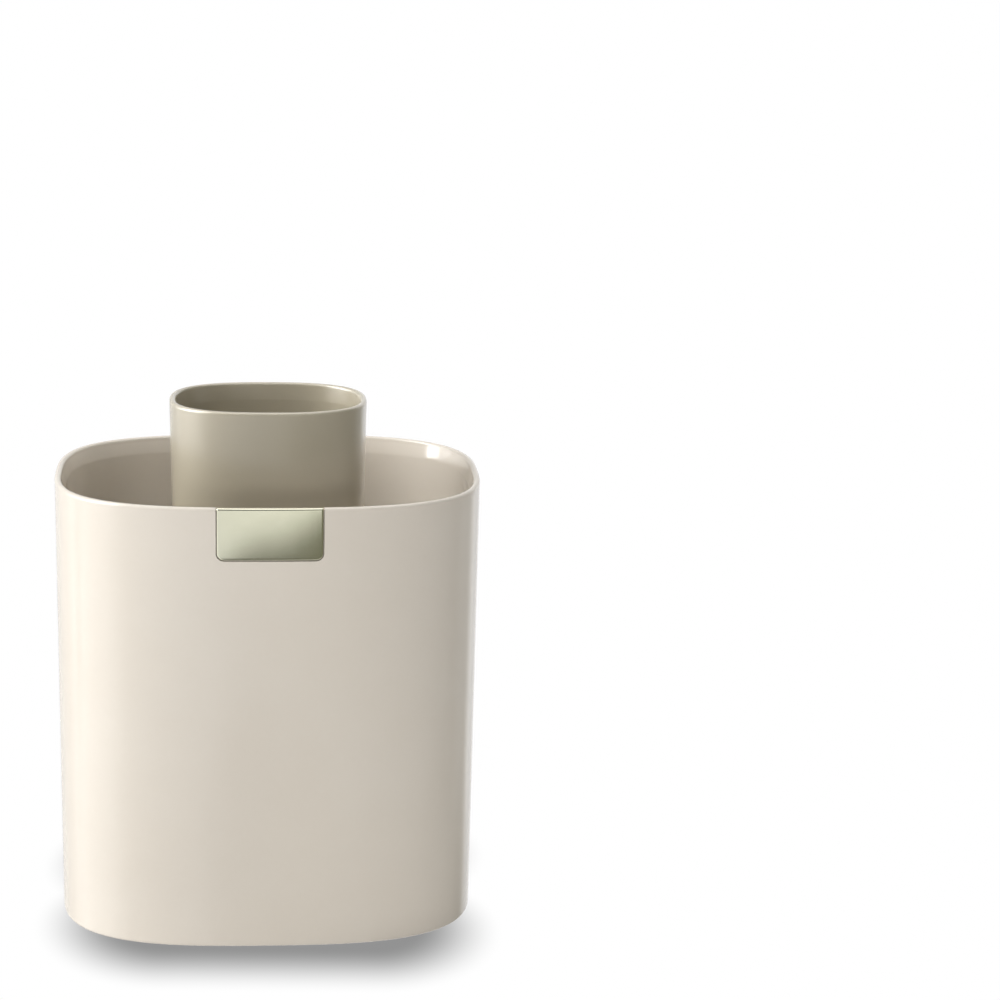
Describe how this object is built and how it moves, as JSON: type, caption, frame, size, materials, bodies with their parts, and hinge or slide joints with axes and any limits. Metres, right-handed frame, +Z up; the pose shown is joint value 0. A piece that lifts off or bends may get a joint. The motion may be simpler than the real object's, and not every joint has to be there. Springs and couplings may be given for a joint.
{
  "type": "makeup brush pot",
  "caption": "Upright storage pot with rounded-rectangle plan, a taller lift-out pot standing in its middle, a plain metal plate folded over the front rim and soft feet.",
  "frame": {"origin": "on the table, under the middle of the base", "axes": "+Z up, +X to the right and +Y to the back, as seen from the front where the plate is"},
  "size_m": [0.12, 0.092, 0.1485],
  "materials": {
    "pot_shell": "glossy warm off-white moulded plastic",
    "inner_shell": "satin taupe moulded plastic",
    "plate_metal": "satin champagne-coloured pressed plate, bare of lettering",
    "adhesive": "thin double-sided adhesive pad",
    "foot_rubber": "soft grey non-slip rubber"
  },
  "bodies": {
    "outer_body": {"outer_pot": "pot_shell", "badge_plate": "plate_metal", "badge_adhesive": "adhesive", "foot_front_left": "foot_rubber", "foot_front_right": "foot_rubber", "foot_back_left": "foot_rubber", "foot_back_right": "foot_rubber"},
    "inner_body": {"inner_pot": "inner_shell"}
  },
  "joints": [
    {"name": "inner_pot_lift", "type": "slide", "parent": "outer_body", "child": "inner_body", "axis": [0, 0, 1], "range_m": [0, 0.13]}
  ]
}
